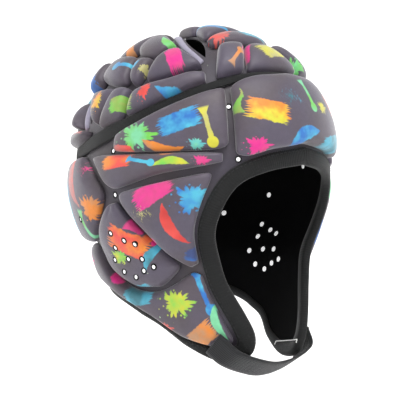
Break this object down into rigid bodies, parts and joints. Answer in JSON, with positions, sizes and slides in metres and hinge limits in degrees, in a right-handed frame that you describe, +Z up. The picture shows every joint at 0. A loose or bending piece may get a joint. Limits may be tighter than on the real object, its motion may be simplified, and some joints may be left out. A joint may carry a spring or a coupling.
{
  "type": "rugby scrum cap",
  "caption": "Soft padded scrum cap with sewn foam cells over a perforated lining, bound face and neck edge and a chin strap loop.",
  "frame": {"origin": "inside of the crown at its highest point, where the cap sits on the top of the head", "axes": "+Z up, -Y the way the wearer faces, -X the wearer's right"},
  "size_m": [0.1694, 0.2042, 0.24],
  "materials": {
    "lining": "matte knitted lining, perforated",
    "printed_fabric": "smooth printed polyester, slight sheen",
    "edge_tape": "matte ribbed binding tape",
    "webbing": "ribbed polyester webbing"
  },
  "bodies": {
    "root": {"lining_shell": "lining", "crown_trim": "edge_tape", "edge_binding": "edge_tape", "chin_strap": "webbing", "forehead_pad": "printed_fabric", "nape_pad_upper": "printed_fabric", "nape_pad_lower": "printed_fabric", "front_centre_pad": "printed_fabric", "tongue_bar_pad": "printed_fabric", "back_arch_pad": "printed_fabric", "back_centre_pad": "printed_fabric", "tongue_top_pad": "printed_fabric", "tongue_tip_pad": "printed_fabric", "brow_wedge_right": "printed_fabric", "brow_wedge_left": "printed_fabric", "temple_bar_right": "printed_fabric", "temple_bar_left": "printed_fabric", "face_wedge_right": "printed_fabric", "face_wedge_left": "printed_fabric", "ear_pad_right": "printed_fabric", "ear_pad_left": "printed_fabric", "cheek_pad_right": "printed_fabric", "cheek_pad_left": "printed_fabric", "rear_pad_right": "printed_fabric", "rear_pad_left": "printed_fabric", "front_corner_pad_right": "printed_fabric", "front_corner_pad_left": "printed_fabric", "ring_pad_front_right": "printed_fabric", "ring_pad_front_left": "printed_fabric", "ring_pad_middle_right": "printed_fabric", "ring_pad_middle_left": "printed_fabric", "ring_pad_rear_right": "printed_fabric", "ring_pad_rear_left": "printed_fabric", "crown_leaf_pad_right": "printed_fabric", "crown_leaf_pad_left": "printed_fabric", "crown_slim_pad_right": "printed_fabric", "crown_slim_pad_left": "printed_fabric", "crown_side_pad_right": "printed_fabric", "crown_side_pad_left": "printed_fabric", "crown_vent_pad_right": "printed_fabric", "crown_vent_pad_left": "printed_fabric", "crown_top_pad_right": "printed_fabric", "crown_top_pad_left": "printed_fabric", "crown_rear_pad_right": "printed_fabric", "crown_rear_pad_left": "printed_fabric", "back_wing_pad_right": "printed_fabric", "back_wing_pad_left": "printed_fabric", "back_ring_pad_right": "printed_fabric", "back_ring_pad_left": "printed_fabric", "front_vent_lip_right": "printed_fabric", "front_vent_lip_left": "printed_fabric", "rear_vent_lip_right": "printed_fabric", "rear_vent_lip_left": "printed_fabric"}
  },
  "joints": []
}
